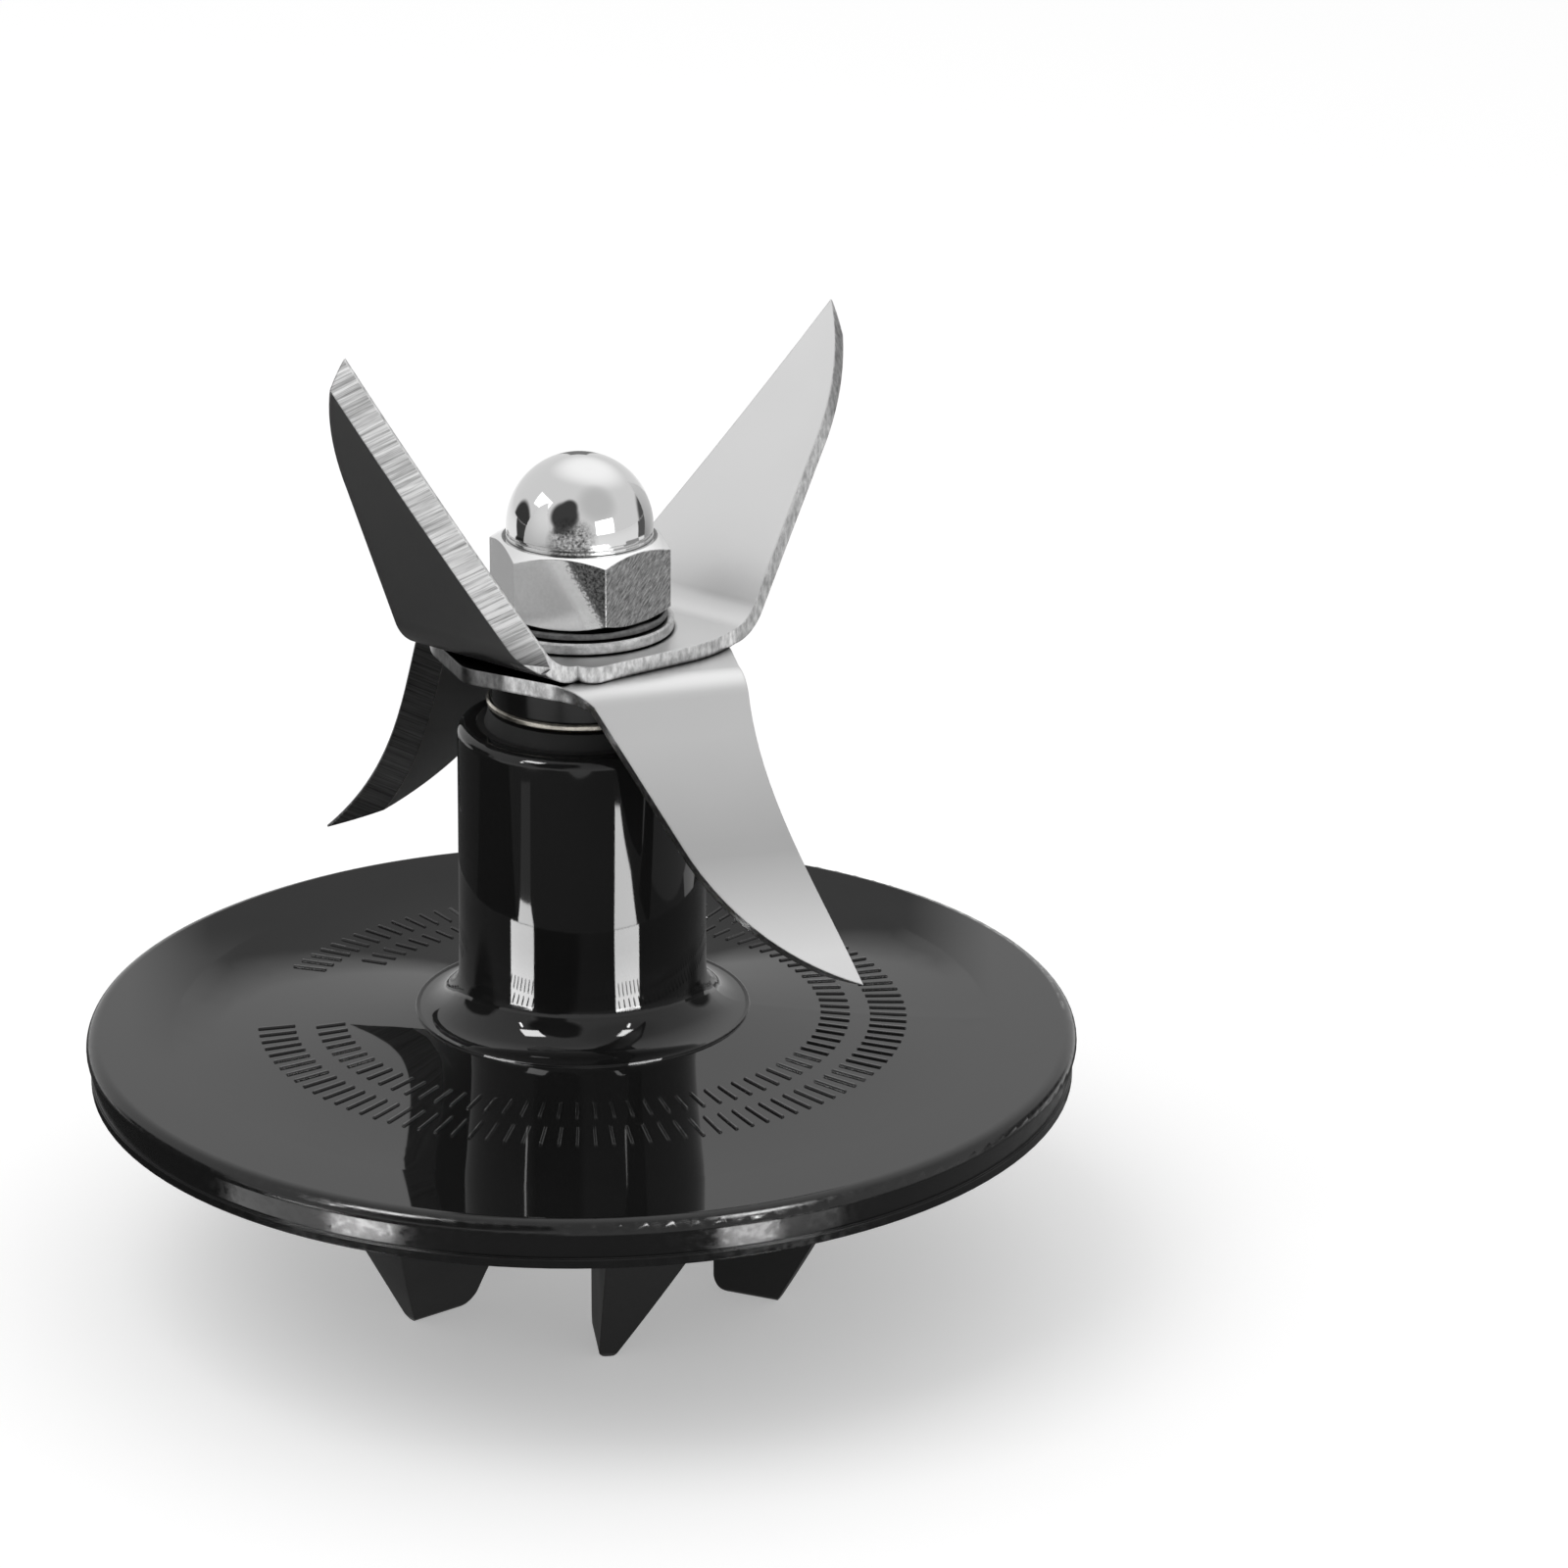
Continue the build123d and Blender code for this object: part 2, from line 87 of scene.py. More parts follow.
# Dark board that stands behind the part: first and last azimuth, top edge, level
board_sides = (87.9, 97.4)
board_top = 22.2
board_level = 0.24

# Blur of the board's edges: degrees either side of its top, shares inside and outside its sides
board_top_blur = 0.7
board_inner_blur = 0.006
board_outer_blur = 0.01

# Cards on the floor that only polished surfaces see: corners in millimetres, level, nodes lit if not all
floor_cards = {
    "front": (((-60, -142), (100, -142), (100, 30), (-140, 30), (-140, -60)), 0.18, ()),
    "left": (((-43, -45), (-43, 90), (-240, 90), (-240, -60), (-140, -60)), 0.025, ()),
    "back": (((-150, 30), (80, 30), (80, 130), (-150, 130)), 0.07, ()),
    "left_far": (((-240, -60), (-240, 90), (-2500, 1100), (-2500, -500)), 0.06, ()),
    "right_far": (((240, 60), (2500, 700), (2100, 2100), (160, 160)), 0.12, ()),
    "nut_front": (((-100, -192), (-62, -192), (-62, -158), (-100, -158)), 0.5, ()),
    "back_left": (((-135, 132), (-82, 132), (-82, 185), (-135, 185)), 0.5, ()),
    "right": (((98, -42), (240, -42), (240, 60), (98, 60)), 0.35, ()),
    "right_gap": (((84, -62), (130, -62), (130, -42), (84, -42)), 0.05, ()),
    "column_left": (((-78, -49), (-60, -72), (-71, -73), (-83, -60)), 16.0, ("base_housing",)),
    "column_haze": (((-83, -60), (-71, -73), (-96, -98), (-109, -82)), 0.6, ("base_housing",)),
    "column_right": (((48, -82), (74, -57), (80, -77), (77, -104), (69, -110)), 16.0, ("base_housing",)),
    "rim_left": (((-34, -41.5), (-39, -47), (-29, -54), (-25.5, -48)), 16.5, ("base_housing",)),
    "rim_left_haze": (((-44, -24), (-55, -30), (-39.5, -47.5), (-34, -41)), 1.6, ("base_housing",)),
    "rim_right": (((22, -48.5), (24, -56), (34, -51.5), (30, -45)), 13.0, ("base_housing",)),
    "rim_right_haze": (((30, -45), (34, -51.5), (43, -44), (38, -38)), 1.6, ("base_housing",)),
}

# Height of the first card above the ground and the step to each card after it, in millimetres
card_height = 0.3
card_step = 0.02

# Lamps round the part: azimuth, elevation, then distance, width and height in metres, power, nodes lit
lamp_aim = Vector((0, 0, 30 * MM))
round_lamps = {
    "key": (215, 60, 0.9, 0.6, 0.6, 2.2, ()),
    "dome_window": (196, 38, 0.5, 0.24, 0.14, 0.16, ("cap_nut",)),
    "dome_strip": (313, 13, 0.5, 0.26, 0.18, 0.3, ("cap_nut",)),
    "oval_left": (220, 44, 0.6, 0.16, 0.16, 1.8, ("base_housing",)),
    "oval_right": (320, 44, 0.6, 0.16, 0.16, 1.8, ("base_housing",)),
    "glint_left": (215, 25, 0.5, 0.014, 0.09, 0.14, ("base_housing",)),
    "glint_right": (313.6, 25, 0.5, 0.014, 0.09, 0.14, ("base_housing",)),
    "strip_left": (215, 16, 0.5, 0.2, 0.13, 9.5, ("base_housing",)),
    "strip_right": (313.6, 16, 0.5, 0.2, 0.13, 9.5, ("base_housing",)),
}

# Lamps that show only where polish mirrors polish, and the ray depth that is passed there
twice_mirrored = ("strip_left", "strip_right")
mirror_depth = 2.5

# Lamps that lie level above the ground: middle and size in millimetres, level in polish, nodes lit
flat_lamp_height = 1
flat_lamps = {
    "bevel_lamp": ((-65, -82), (90, 75), 0.65, ("upper_blade",)),
    "nut_edge_lamp": ((108, -150), (90, 80), 4.0, ("cap_nut",)),
}

# Low and high ends of a noise: for a gentle change, and for one with more contrast
broad_noise = (0.3, 0.7)
sharp_noise = (0.35, 0.65)

# Depth of the fine relief of a surface, and the share of it that shows
grain_depth = 0.02 * MM
grain_strength = 0.5

# Painted shade in crevices: the openness at which it is darkest and at which it ends, and its reach and
# levels on nut and washers
crevice_shade_openness = (0.5, 0.85)
crevice_shade_width = 0.5 * MM
crevice_shade_tone = 0.1
crevice_shade_grey = 0.01


def toward(azimuth, elevation):
    """The way from the middle of the part to a place round it, both angles in degrees."""
    a, e = radians(azimuth), radians(elevation)
    return Vector((cos(a) * cos(e), sin(a) * cos(e), sin(e)))


def grey(level):
    return (level, level, level, 1.0)


def darker(colour, share):
    return tuple(c * share for c in colour[:3]) + (1.0,)


class Graph:
    """Small helper that adds nodes to the tree of one material, world or lamp and joins them."""

    def __init__(self, owner, output="ShaderNodeOutputMaterial"):
        owner.use_nodes = True
        self.owner = owner
        self.tree = owner.node_tree
        self.tree.nodes.clear()
        self.output = self.tree.nodes.new(output)

    def add(self, kind, inputs=(), **settings):
        node = self.tree.nodes.new(kind)
        for key, value in settings.items():
            setattr(node, key, value)
        for key, value in dict(inputs).items():
            self.join(node.inputs[key], value)
        return node

    def join(self, socket, value):
        if isinstance(value, bpy.types.NodeSocket):
            self.tree.links.new(value, socket)
        elif isinstance(value, bpy.types.Node):
            self.tree.links.new(value.outputs[0], socket)
        else:
            socket.default_value = value

    def place(self):
        """A point of the surface, in the object's own axes."""
        return self.add("ShaderNodeTexCoord").outputs["Object"]

    def facing(self):
        """The way the surface faces, in the object's own axes."""
        return self.add("ShaderNodeTexCoord").outputs["Normal"]

    def math(self, operation, *values, clamp=False):
        node = self.add("ShaderNodeMath", operation=operation, use_clamp=clamp)
        for socket, value in zip(node.inputs, values):
            self.join(socket, value)
        return node.outputs[0]

    def times(self, *values):
        result = values[0]
        for value in values[1:]:
            result = self.math("MULTIPLY", result, value)
        return result

    def plus(self, *values):
        result = values[0]
        for value in values[1:]:
            result = self.math("ADD", result, value)
        return result

    def minus(self, first, second):
        return self.math("SUBTRACT", first, second)

    def unsigned(self, value):
        return self.math("ABSOLUTE", value)

    def above(self, value, limit):
        """One where a value is over a limit, and nought elsewhere."""
        return self.math("GREATER_THAN", value, limit)

    def below(self, value, limit):
        """One where a value is under a limit, and nought elsewhere."""
        return self.math("LESS_THAN", value, limit)

    def dot(self, vector, axis):
        node = self.add("ShaderNodeVectorMath", {0: vector, 1: tuple(axis)}, operation="DOT_PRODUCT")
        return node.outputs["Value"]

    def combine(self, x, y, z):
        return self.add("ShaderNodeCombineXYZ", {0: x, 1: y, 2: z}).outputs[0]

    def split(self, vector):
        return self.add("ShaderNodeSeparateXYZ", {0: vector}).outputs

    def radius(self, x, y):
        return self.math("SQRT", self.plus(self.times(x, x), self.times(y, y)))

    def noise(self, vector, scale, detail=2.0, roughness=0.5):
        inputs = {"Vector": vector, "Scale": scale, "Detail": detail, "Roughness": roughness}
        return self.add("ShaderNodeTexNoise", inputs).outputs["Fac"]

    def ramp(self, value, ends, levels=(0.0, 1.0), smooth=False):
        """A level that goes from the first to the last as a value goes from end to end."""
        node = self.add("ShaderNodeMapRange", {0: value, 1: ends[0], 2: ends[1], 3: levels[0], 4: levels[1]})
        if smooth:
            node.interpolation_type = "SMOOTHSTEP"
        return node.outputs[0]

    def blend_colour(self, factor, first, second):
        node = self.add("ShaderNodeMix", data_type="RGBA")
        self.join(node.inputs["Factor"], factor)
        self.join(node.inputs[6], first)
        self.join(node.inputs[7], second)
        return node.outputs[2]

    def blend_value(self, factor, first, second):
        node = self.add("ShaderNodeMix", data_type="FLOAT")
        self.join(node.inputs[0], factor)
        self.join(node.inputs[2], first)
        self.join(node.inputs[3], second)
        return node.outputs[0]

    def bump(self, height, depth=grain_depth, strength=grain_strength, edge=None):
        """Fine relief; edges catch the light as if rounded where their radius is given."""
        inputs = {"Height": height, "Distance": depth, "Strength": strength}
        if edge is not None:
            inputs["Normal"] = self.add("ShaderNodeBevel", {"Radius": edge}, samples=4)
        return self.add("ShaderNodeBump", inputs).outputs[0]

    def crevice_shade(self, width, darkest):
        """Painted shade: a level that falls from one in the open to darkest where surfaces meet."""
        shade = self.add("ShaderNodeAmbientOcclusion", {"Distance": width}, samples=8)
        return self.ramp(shade.outputs["AO"], crevice_shade_openness, (darkest, 1.0))

    def glow(self, level):
        return self.add("ShaderNodeEmission", {0: grey(1.0), 1: level})

    def finish(self, shader):
        self.join(self.output.inputs[0], shader)
        return self.owner

    def surface(self, tint, roughness, normal, **more):
        """The principled shader, joined to the output."""
        inputs = {"Base Color": tint, "Roughness": roughness, "Normal": normal, **more}
        return self.finish(self.add("ShaderNodeBsdfPrincipled", inputs))


def new_material(name):
    return Graph(bpy.data.materials.new(name))


def paint(material, *names):
    for name in names:
        nodes[name].data.materials.clear()
        nodes[name].data.materials.append(material)


# Gloss moulding: haze and ripple all over, and a duller grain on the rounded rim of the disc
haze_scale = 90.0
haze_noise = (0.35, 0.7)
haze_roughness_gain = 1.8
haze_colour_gain = 1.6
ripple_scale = 60.0
rim_scale = 1500.0
rim_noise = (0.3, 0.6)
rim_roughness = (0.04, 0.2)
rim_start = 38.2 * MM
level_facing = 0.985
moulding_edge = 0.15 * MM
moulding_ior = 1.42


def gloss_black(name, colour, rough):
    """Glossy black moulding: near-black, faint haze, a slow ripple and a duller rounded rim."""
    g = new_material(name)
    place = g.place()
    x, y, z = g.split(place)
    haze = g.noise(place, haze_scale, detail=3.0)
    on_rim = g.above(g.radius(x, y), rim_start)
    rounded = g.below(g.dot(g.facing(), (0, 0, 1)), level_facing)
    wear_and_dark_reflection = g.times(on_rim, rounded, g.ramp(g.noise(place, rim_scale), rim_noise, rim_roughness))
    roughness = g.plus(g.ramp(haze, haze_noise, (rough, rough * haze_roughness_gain)), wear_and_dark_reflection)
    normal = g.bump(g.noise(place, ripple_scale, detail=1.0), edge=moulding_edge)
    tint = g.blend_colour(haze, grey(colour), grey(colour * haze_colour_gain))
    return g.surface(tint, roughness, normal, IOR=moulding_ior)


# Matt moulding: fine grain, and patches that are darker or paler and rougher
matt_grain_scale = 2600.0
matt_patch_scale = 120.0
matt_patch_tones = (0.8, 1.3)
matt_patch_roughness = 0.12
matt_edge = 0.2 * MM


def matt_black(name, colour, rough):
    """Matt black plastic with a fine grain."""
    g = new_material(name)
    place = g.place()
    patch = g.noise(place, matt_patch_scale, detail=3.0)
    dark, pale = (grey(colour * tone) for tone in matt_patch_tones)
    roughness = g.ramp(patch, broad_noise, (rough, rough + matt_patch_roughness))
    normal = g.bump(g.noise(place, matt_grain_scale), edge=matt_edge)
    return g.surface(g.blend_colour(patch, dark, pale), roughness, normal)


# Turned metal: rings round the axis, and flecks that are darker
ring_scale = 700.0
ring_squeeze = 9.0
ring_roughness = 0.15
fleck_scale = 1400.0
fleck_tone = 0.6
turned_depth = 0.01 * MM
turned_edge = 0.1 * MM


def turned_metal(name, colour, rough):
    """Turned or stamped metal with fine rings round the spindle axis."""
    g = new_material(name)
    place = g.place()
    x, y, z = g.split(place)
    section = g.combine(g.times(g.radius(x, y), ring_squeeze), 0.0, g.times(z, ring_squeeze))
    rings = g.noise(section, ring_scale)
    fleck = g.noise(place, fleck_scale, detail=3.0, roughness=0.65)
    normal = g.bump(g.plus(rings, fleck), turned_depth, edge=turned_edge)
    tint = g.blend_colour(g.ramp(fleck, sharp_noise), darker(colour, fleck_tone), colour)
    # Painted shade: darker grey where surfaces meet
    tint = g.blend_colour(g.crevice_shade(crevice_shade_width, crevice_shade_tone), grey(crevice_shade_grey), tint)
    roughness = g.ramp(rings, broad_noise, (rough, rough + ring_roughness))
    return g.surface(tint, roughness, normal, Metallic=1.0)


# The hubs of both blades lie this far above and below the height where they meet
hub_middle = 54.0 * MM
hub_reach = 1.7 * MM

# Ground bevels face the way their edge leads by these shares; sheet does by less, a sheared side by more
bevel_lead = (0.12, 0.75)

# Grinding marks on the bevels, broader bands among them, and their tones from the hub to the tips
mark_scale = 3600.0
mark_noise = (0.34, 0.62)
mark_tones = (0.36, 1.0)
mark_stretch = 0.03
band_scale = 900.0
band_tones = (-0.1, 0.12)
bevel_start = (55.5 * MM, 59 * MM)
bevel_start_tones = (0.18, 1.16)
bevel_run = (60 * MM, 72 * MM)
bevel_run_tones = (1.0, 0.8)

# Rolled faces of the blades: their cloud, and the heights between which their painted light and shade
# changes level
cloud_scale = 45.0
cloud_tones = (0.71, 0.77)
tip_to_middle = (35 * MM, 42 * MM)
middle_to_bend = (43 * MM, 50 * MM)
hub_to_wing = (55.6 * MM, 57 * MM)

# Sheared sides of the blades, and how far out from the axis the side of the hub ends; the painted shade on
# that side fades out over this span
shear_scale = 2400.0
shear_stretch = 0.5
shear_noise = (0.32, 0.68)
shear_tones = (0.45, 0.9)
hub_side_end = (5.9 * MM, 6.4 * MM)

# Roughness of the blades: bevels, sheared sides, and faces that look down and up
bevel_roughness = 0.38
side_roughness = 0.3
underface_roughness = 0.28
upface_roughness = 0.4
blade_edge = 0.2 * MM
# Painted shade in the blades' crevices: its darkest level
blade_crevice_shade_tone = 0.02


def wing_directions(azimuth, angles, edge_slope):
    """For each of two wings, the way along its ground edge and the way that the edge leads."""
    for sign, angle in zip((1, -1), angles):
        wing = sign * toward(azimuth, 0) * cos(radians(angle)) + Vector((0, 0, sin(radians(angle))))
        lead = sign * toward(azimuth + 90, 0)
        yield (wing + lead * tan(radians(edge_slope))).normalized(), lead


def blade_metal(name, azimuth, angles, edge_slope, gap, tip, middle, bend, wing, hub_side_shade):
    """Bright rolled sheet with ground bevels whose grinding marks run square to each cutting edge.

    Painted light and shade by height: the sheet's level goes from tip to middle, then gains bend and wing
    further up.
    The sheared side of the hub takes painted shade at its own level, and painted shade reaches out of
    crevices by gap.
    """
    g = new_material(name)
    place, facing = g.place(), g.facing()
    x, y, z = g.split(place)
    reach = g.dot(place, toward(azimuth, 0))
    near = g.above(reach, 0.0)
    edges, leads = zip(*wing_directions(azimuth, angles, edge_slope))
    near_run, far_run = (g.dot(place, edge) for edge in edges)
    near_lead, far_lead = (g.dot(facing, lead) for lead in leads)
    run = g.blend_value(near, far_run, near_run)
    lead = g.blend_value(near, far_lead, near_lead)

    on_wing = g.above(g.unsigned(g.minus(z, hub_middle)), hub_reach)
    bevel = g.times(g.above(lead, bevel_lead[0]), g.below(lead, bevel_lead[1]), on_wing)
    flat = g.below(g.unsigned(lead), bevel_lead[0])

    across = g.combine(run, g.times(g.dot(place, toward(azimuth + 90, 0)), mark_stretch), 0.0)
    marks = g.noise(across, mark_scale, detail=4.0, roughness=0.75)
    bands = g.noise(across, band_scale)
    ground = g.plus(g.ramp(marks, mark_noise, mark_tones), g.ramp(bands, broad_noise, band_tones))
    from_hub = g.ramp(z, bevel_start, bevel_start_tones)
    ground = g.times(ground, from_hub, g.ramp(z, bevel_run, bevel_run_tones))

    # Painted light and shade: the sheet's level changes with height, from tips through middle and bend to
    # wings
    tone = g.ramp(z, tip_to_middle, (tip, middle))
    tone = g.plus(tone, g.ramp(z, middle_to_bend, (0.0, bend)), g.ramp(z, hub_to_wing, (0.0, wing)))
    sheet = g.times(g.ramp(g.noise(place, cloud_scale, detail=3.0), broad_noise, cloud_tones), tone)

    shear = g.noise(g.combine(x, y, g.times(z, shear_stretch)), shear_scale, detail=3.0, roughness=0.6)
    # Painted shade on the sheared side of the hub, up to hub_side_end
    cut = g.times(g.ramp(shear, shear_noise, shear_tones), g.ramp(reach, hub_side_end, (hub_side_shade, 1.0)))

    level = g.blend_value(bevel, g.blend_value(flat, cut, sheet), ground)
    # Painted shade where the blade meets other parts, reaching out by gap
    level = g.math("MULTIPLY", level, g.crevice_shade(gap, blade_crevice_shade_tone), clamp=True)
    upward = g.above(g.dot(facing, (0, 0, 1)), 0.0)
    roughness = g.blend_value(upward, underface_roughness, upface_roughness)
    roughness = g.blend_value(bevel, g.blend_value(flat, side_roughness, roughness), bevel_roughness)
    height = g.plus(g.times(marks, bevel), g.times(shear, g.minus(1.0, g.plus(bevel, flat))))
    normal = g.bump(height, edge=blade_edge)
    return g.surface(g.combine(level, level, level), roughness, normal, Metallic=1.0)


# Nut: height of its hexagon, its plating on dome, chamfer and wrench faces
hexagon_height = 6.05 * MM
nut_grain_scale = 4800.0
nut_cloud_scale = 260.0
nut_edge = 0.12 * MM
dome_tone = 0.67
dome_roughness = (0.03, 0.06)
chamfer_facing = 0.1
chamfer_tone = 0.8
wrench_tones = (0.46, 0.54)
wrench_roughness = (0.1, 0.16)
wrench_grain = 0.1

# Painted dark reflection low on the dome: azimuth and elevation that it faces, how it fades in, and its
# looks
dark_reflection_way = (266, 2)
dark_reflection_facing = (0.93, 0.985)
dark_reflection_tones = (0.06, 0.5)
dark_reflection_roughness = 0.2
dark_reflection_grain = 0.4

# Azimuth of the front wrench face, made paler by a painted reflection, with a painted dark reflection in a
# wedge with a ragged border
wedge_face = 258.0
wedge_facing = (0.9, 0.98)
wedge_slope = 0.58
wedge_ragged = (-0.4 * MM, 0.4 * MM)
wedge_border = (0.1 * MM, 0.6 * MM)
wedge_tones = (0.02, 0.2)
front_reflection_gain = 0.2

# Azimuth of the wrench face with diagonal scratches, and the azimuth that they are measured along
scratched_face = 318.0
scratched_facing = (0.8, 0.9)
scratch_azimuth = 48.0
scratch_scale = 4600.0
scratch_stretch = 0.2
scratch_tones = (-0.4, 0.42)
scratch_grain = 0.6


def nut_metal(name, hex_top):
    """Plated nut: a bright smooth dome with a painted dark reflection low at the front, over duller
    scratched wrench faces.
    """
    g = new_material(name)
    place, facing = g.place(), g.facing()
    x, y, z = g.split(place)
    dome = g.above(z, hex_top)
    chamfer = g.above(g.dot(facing, (0, 0, 1)), chamfer_facing)
    grain = g.noise(place, nut_grain_scale, detail=3.0, roughness=0.6)
    cloud = g.noise(place, nut_cloud_scale, detail=3.0)

    run = g.dot(place, toward(scratch_azimuth, 0))
    diagonal = g.combine(g.minus(run, z), g.times(g.plus(run, z), scratch_stretch), 0.0)
    scratch = g.noise(diagonal, scratch_scale, detail=3.0, roughness=0.7)
    scratched = g.ramp(g.dot(facing, toward(scratched_face, 0)), scratched_facing)

    # Mask of the painted dark reflection on the front wrench face: a wedge with a ragged border
    front = g.dot(facing, toward(wedge_face, 0))
    across = g.dot(place, toward(wedge_face + 90, 0))
    rise = g.times(g.minus(z, hex_top), wedge_slope)
    slant = g.plus(across, rise, g.ramp(grain, broad_noise, wedge_ragged))
    wedge = g.times(g.ramp(slant, wedge_border), g.ramp(front, wedge_facing))

    wrench = g.ramp(grain, broad_noise, wrench_tones)
    wrench = g.plus(wrench, g.times(scratched, g.ramp(scratch, broad_noise, scratch_tones)))
    # Painted reflection makes the front face paler, and a painted dark reflection fills the wedge
    wrench = g.plus(wrench, g.ramp(front, wedge_facing, (0.0, front_reflection_gain)))
    wrench = g.blend_value(wedge, wrench, g.ramp(grain, sharp_noise, wedge_tones))
    wrench = g.blend_value(chamfer, wrench, chamfer_tone)
    # Painted shade in the crevices of the wrench faces
    wrench = g.times(wrench, g.crevice_shade(crevice_shade_width, crevice_shade_tone))

    # Painted dark reflection low on the front of the dome, grainy and rougher
    wear_and_dark_reflection = g.times(dome, g.ramp(g.dot(facing, toward(*dark_reflection_way)), dark_reflection_facing))
    polish = g.blend_value(wear_and_dark_reflection, dome_tone, g.ramp(grain, sharp_noise, dark_reflection_tones))
    polish_roughness = g.blend_value(wear_and_dark_reflection, g.ramp(cloud, broad_noise, dome_roughness), dark_reflection_roughness)

    level = g.blend_value(dome, wrench, polish)
    roughness = g.blend_value(dome, g.ramp(cloud, broad_noise, wrench_roughness), polish_roughness)
    wrench_relief = g.blend_value(scratched, wrench_grain, scratch_grain)
    relief = g.blend_value(dome, wrench_relief, g.times(wear_and_dark_reflection, dark_reflection_grain))
    normal = g.bump(g.times(grain, relief), edge=nut_edge)
    return g.surface(g.combine(level, level, level), roughness, normal, Metallic=1.0)


# Rubber and nylon: mottle and grain
mottle_scale = 300.0
mottle_tone = 0.85
mottle_roughness = 0.1
rubber_grain_scale = 1500.0
rubber_strength = 0.4


def rubber(name, colour, rough):
    """Matt rubber or nylon with a soft mottle."""
    g = new_material(name)
    place = g.place()
    mottle = g.noise(place, mottle_scale, detail=3.0)
    tint = g.blend_colour(mottle, darker(colour, mottle_tone), colour)
    roughness = g.ramp(mottle, broad_noise, (rough, rough + mottle_roughness))
    normal = g.bump(g.noise(place, rubber_grain_scale), strength=rubber_strength)
    return g.surface(tint, roughness, normal)


# Materials of the CAD nodes
hex_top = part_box("cap_nut")[0].z + hexagon_height
moulding = gloss_black("gloss_black", colour=0.006, rough=0.022)
steel = turned_metal("washer_steel", colour=grey(0.66), rough=0.22)
shaft = turned_metal("spindle_steel", colour=(0.62, 0.62, 0.63, 1.0), rough=0.2)
bronze = turned_metal("bronze", colour=(0.5, 0.37, 0.24, 1.0), rough=0.4)
paint(moulding, "base_housing")
paint(gloss_black("collar_black", colour=0.006, rough=0.08), "spacer_collar")
paint(matt_black("coupling_black", colour=0.02, rough=0.4), "drive_coupling")
# Painted light and shade in the blades: tip, middle, bend and wing set each sheet's level by height; the
# hub's sheared side gets painted shade at the last level
upper = blade_metal(
    "upper_steel", azimuth=231.0, angles=(67.0, 57.0), edge_slope=-23.0,
    gap=0.5 * MM, tip=0.9, middle=0.9, bend=0.0, wing=0.2, hub_side_shade=1.0,
)
lower = blade_metal(
    "lower_steel", azimuth=288.0, angles=(-57.0, -60.0), edge_slope=12.0,
    gap=2.0 * MM, tip=1.3, middle=0.75, bend=0.19, wing=0.0, hub_side_shade=0.25,
)
paint(upper, "upper_blade")
paint(lower, "lower_blade")
paint(nut_metal("nut_plating", hex_top), "cap_nut")
paint(steel, "flat_washer", "lower_steel_washer")
paint(turned_metal("lock_washer_steel", colour=grey(0.2), rough=0.4), "lock_washer")
paint(shaft, "spindle_shaft", "retaining_ring")
paint(turned_metal("thrust_brass", colour=(0.78, 0.74, 0.66, 1.0), rough=0.16), "brass_thrust_ring")
paint(bronze, "lower_bushing", "upper_bushing", "coupling_insert")
paint(rubber("seal_rubber", colour=grey(0.01), rough=0.7), "shaft_seal")
paint(rubber("white_nylon", colour=(0.8, 0.8, 0.77, 1.0), rough=0.45), "lower_nylon_washer")


# Raised ticks on the disc: inner radius, outer radius, count, first and last azimuth
tick_rings = (
    (19.3, 21.6, 84, -170.0, 150.0),
    (23.3, 26.2, 108, -172.0, 158.0),
)

# Section of a tick in millimetres: width, height over the disc, lean of its sides, depth in the disc
tick_width = 0.34
tick_rise = 0.14
tick_draft = 0.08
tick_sink = 0.05

# Crown of the disc's top face in millimetres: radii where it ends and starts, its rise, its height
crown_land = 33.0
crown_foot = 13.5
crown_rise = 1.1
land_height = 22.15


def crown_height(radius):
    """Height of the disc's top face, in millimetres, at a radius on its crown."""
    reach = crown_land - crown_foot
    bend = (reach**2 + crown_rise**2) / (2 * crown_rise)
    return land_height + bend - sqrt(bend**2 - (crown_land - radius) ** 2)


def tick_section(radius, end):
    """Four corners across a tick at a radius; its two ends, -1 and 1, lean like its sides."""
    top = crown_height(radius) + tick_rise
    foot = crown_height(radius) - tick_sink
    half = tick_width / 2
    slim = half - tick_draft
    return (
        (radius + end * tick_draft, -half, foot),
        (radius, -slim, top),
        (radius, slim, top),
        (radius + end * tick_draft, half, foot),
    )


def add_tick(mesh, inner, outer, turn):
    """One bar from an inner to an outer radius, turned to its place in the ring."""
    rows = []
    for radius, end in ((inner, -1), ((inner + outer) / 2, 0), (outer, 1)):
        rows.append([mesh.verts.new(turn @ Vector(corner) * MM) for corner in tick_section(radius, end)])
    for near, far in zip(rows, rows[1:]):
        for side in range(4):
            after = (side + 1) % 4
            mesh.faces.new((near[side], far[side], far[after], near[after]))
    mesh.faces.new(rows[0])
    mesh.faces.new(rows[-1][::-1])


def raised_ticks(material):
    """Two rings of plain raised bars that stand where the disc has its moulded marking."""
    mesh = bmesh.new()
    for inner, outer, count, first, last in tick_rings:
        for step in range(count):
            turn = Matrix.Rotation(radians(first + (last - first) * step / (count - 1)), 3, "Z")
            add_tick(mesh, inner, outer, turn)
    bmesh.ops.recalc_face_normals(mesh, faces=mesh.faces)
    data = bpy.data.meshes.new("disc_ticks")
    mesh.to_mesh(data)
    mesh.free()
    ticks = bpy.data.objects.new("disc_ticks", data)
    bpy.context.scene.collection.objects.link(ticks)
    data.materials.append(material)
    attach(ticks, "base")


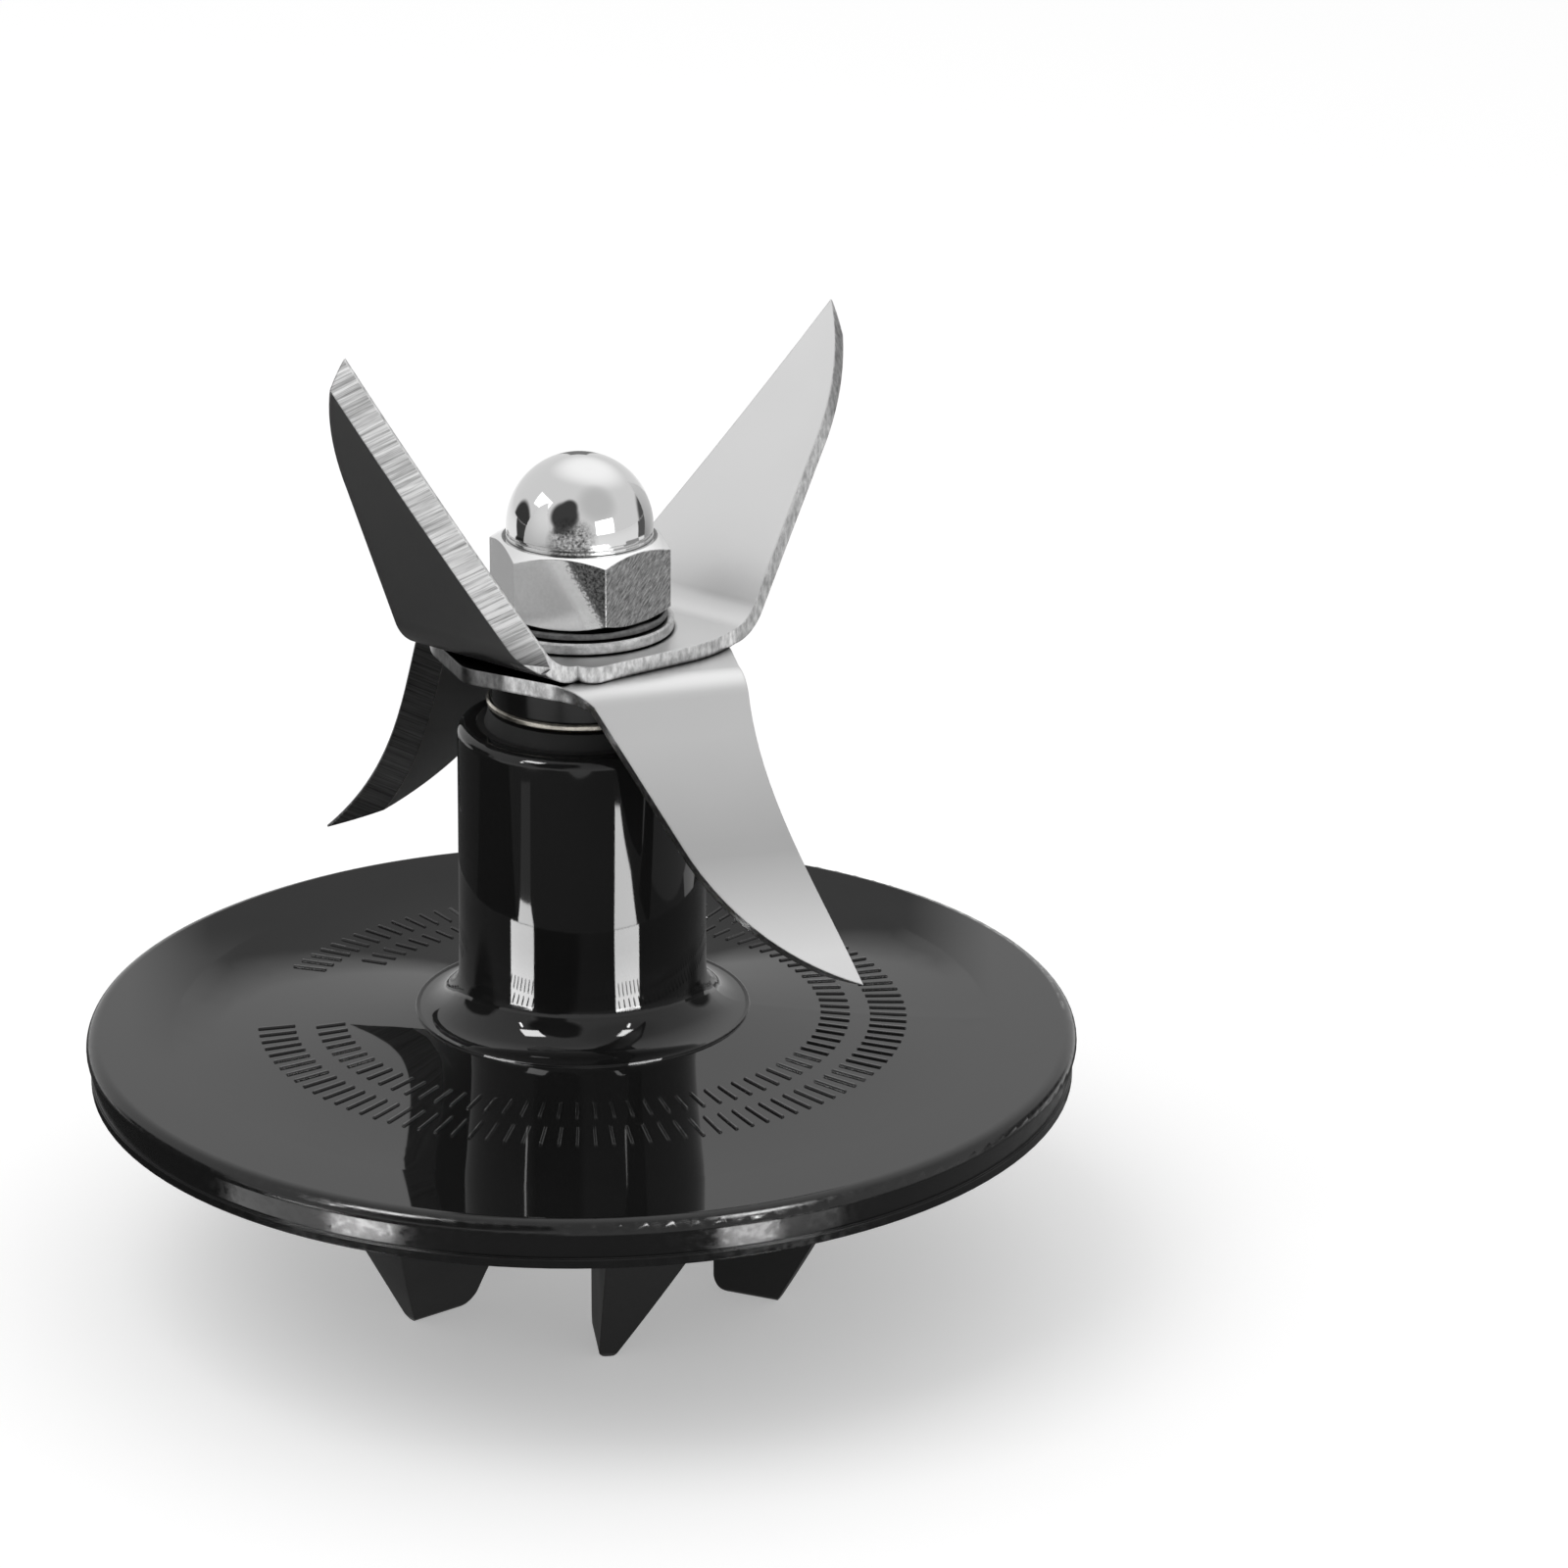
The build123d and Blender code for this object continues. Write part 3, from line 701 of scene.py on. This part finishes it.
def place_camera():
    """The photograph's camera, rolled, and shifted in its own plane off the line to the target."""
    right = Vector((1, 0, 0))
    forward = Vector((0, cos(camera_elevation), -sin(camera_elevation)))
    upward = Vector((0, sin(camera_elevation), cos(camera_elevation)))
    across = right * cos(camera_roll) + upward * sin(camera_roll)
    up = -right * sin(camera_roll) + upward * cos(camera_roll)
    data = bpy.data.cameras.new("camera")
    data.sensor_width = sensor_width
    data.lens = focal_pixels / image_pixels * sensor_width
    data.clip_start, data.clip_end = camera_clip
    camera = bpy.data.objects.new("camera", data)
    bpy.context.scene.collection.objects.link(camera)
    spot = camera_target - forward * camera_distance - across * camera_offset[0] - up * camera_offset[1]
    turn = Matrix((across, up, -forward)).transposed().to_4x4()
    camera.matrix_world = Matrix.Translation(spot) @ turn
    bpy.context.scene.camera = camera


def stage_plane(name, corners, height):
    """A flat level shape that belongs to the studio, from its corners in millimetres."""
    mesh = bpy.data.meshes.new(name)
    mesh.from_pydata([(x * MM, y * MM, height) for x, y in corners], [], [range(len(corners))])
    plane = bpy.data.objects.new(name, mesh)
    bpy.context.scene.collection.objects.link(plane)
    return plane


def light_only(thing, names):
    """Let a lamp or card light the named nodes and nothing else."""
    lit = bpy.data.collections.new(thing.name + "_lit")
    for name in names:
        lit.objects.link(nodes[name])
    thing.light_linking.receiver_collection = lit


def seen_white(g):
    """One for rays from the camera, and one for those that polished or clear surfaces send out."""
    path = g.add("ShaderNodeLightPath").outputs
    bounced = g.math("MAXIMUM", path["Is Glossy Ray"], path["Is Transmission Ray"])
    return path["Is Camera Ray"], bounced


def pale_floor():
    """A pale floor that takes the shadow; a glow that only cameras and polish see makes it white."""
    corners = [(x * floor_half, y * floor_half) for x, y in ((-1, -1), (1, -1), (1, 1), (-1, 1))]
    floor = stage_plane("floor", corners, cad_low.z - floor_gap * MM)
    g = new_material("floor_paint")
    seen, bounced = seen_white(g)
    matt = g.add("ShaderNodeBsdfDiffuse", {0: grey(floor_colour)})
    glow = g.glow(g.times(g.math("MAXIMUM", seen, bounced), floor_glow))
    floor.data.materials.append(g.finish(g.add("ShaderNodeAddShader", {0: matt, 1: glow})))


def on_board(g, way):
    """One where a way from the part meets the dark board behind it."""
    first, last = (toward(azimuth - 90, 0) for azimuth in board_sides)
    past_first = g.ramp(g.dot(way, first), (-board_outer_blur, board_inner_blur), (1.0, 0.0))
    before_last = g.ramp(g.dot(way, last), (-board_inner_blur, board_outer_blur))
    top_ends = [sin(radians(board_top + turn)) for turn in (-board_top_blur, board_top_blur)]
    under_top = g.ramp(g.dot(way, (0, 0, 1)), top_ends, (1.0, 0.0))
    return g.times(past_first, before_last, under_top, g.above(g.dot(way, (0, 1, 0)), 0.0))


def studio_world():
    """Even white for matt surfaces and for the eye; soft panels and dark gaps for polished ones."""
    world = bpy.data.worlds.new("studio")
    g = Graph(world, "ShaderNodeOutputWorld")
    way = g.add("ShaderNodeTexCoord").outputs["Generated"]
    level = g.blend_value(on_board(g, way), world_gloss, board_level)
    for azimuth, elevation, half, soft, strength in studio_panels.values():
        near = g.dot(way, toward(azimuth, elevation))
        inside = g.ramp(near, (cos(radians(half + soft)), cos(radians(half - soft))), smooth=True)
        level = g.blend_value(inside, level, strength)
    seen, bounced = seen_white(g)
    strength = g.blend_value(seen, g.blend_value(bounced, world_fill, level), 1.0)
    g.finish(g.add("ShaderNodeBackground", {0: grey(1.0), 1: strength}))
    bpy.context.scene.world = world


def lamp(name, place, turn, width, height, power, only):
    """A soft lamp that all matt surfaces show, or only the polish of some nodes if they are named."""
    data = bpy.data.lights.new(name, "AREA")
    data.shape = "RECTANGLE"
    data.size = width
    data.size_y = height
    data.energy = power
    light = bpy.data.objects.new(name, data)
    light.location = place
    light.rotation_euler = turn
    light.visible_camera = False
    bpy.context.scene.collection.objects.link(light)
    if only:
        light_only(light, only)
        light.visible_diffuse = False
    else:
        light.visible_glossy = False
    return light


def lamp_round(name, azimuth, elevation, distance, width, height, power, only):
    """A lamp that looks at the middle of the part from one side."""
    way = toward(azimuth, elevation)
    turn = way.to_track_quat("Z", "Y").to_euler()
    return lamp(name, lamp_aim + way * distance, turn, width, height, power, only)


def lamp_flat(name, middle, size, level, only):
    """A level lamp that looks straight up and shows in polished surfaces at the level given."""
    length, width = (side * MM for side in size)
    place = Vector((*middle, flat_lamp_height)) * MM
    lamp(name, place, (pi, 0, 0), length, width, level * pi * length * width, only)


def show_twice_mirrored(light):
    """Keep a lamp to places where polish mirrors polish, such as the disc mirrored in the column."""
    g = Graph(light.data, "ShaderNodeOutputLight")
    depth = g.add("ShaderNodeLightPath").outputs["Ray Depth"]
    g.finish(g.glow(g.above(depth, mirror_depth)))


def polish_card(name, corners, level, only, height):
    """A card on the floor that shows only in polished surfaces, of some nodes only if they are named."""
    card = stage_plane(name, corners, height)
    card.visible_camera = False
    card.visible_diffuse = False
    card.visible_shadow = False
    if only:
        light_only(card, only)
    g = new_material(name)
    card.data.materials.append(g.finish(g.glow(level)))


# Detail, camera and studio
raised_ticks(moulding)
place_camera()
pale_floor()
studio_world()
for name, values in round_lamps.items():
    light = lamp_round(name, *values)
    if name in twice_mirrored:
        show_twice_mirrored(light)
for name, values in flat_lamps.items():
    lamp_flat(name, *values)
for step, (name, (corners, level, only)) in enumerate(floor_cards.items()):
    polish_card(name + "_card", corners, level, only, (card_height + card_step * step) * MM)

bpy.context.scene.view_settings.view_transform = "Standard"
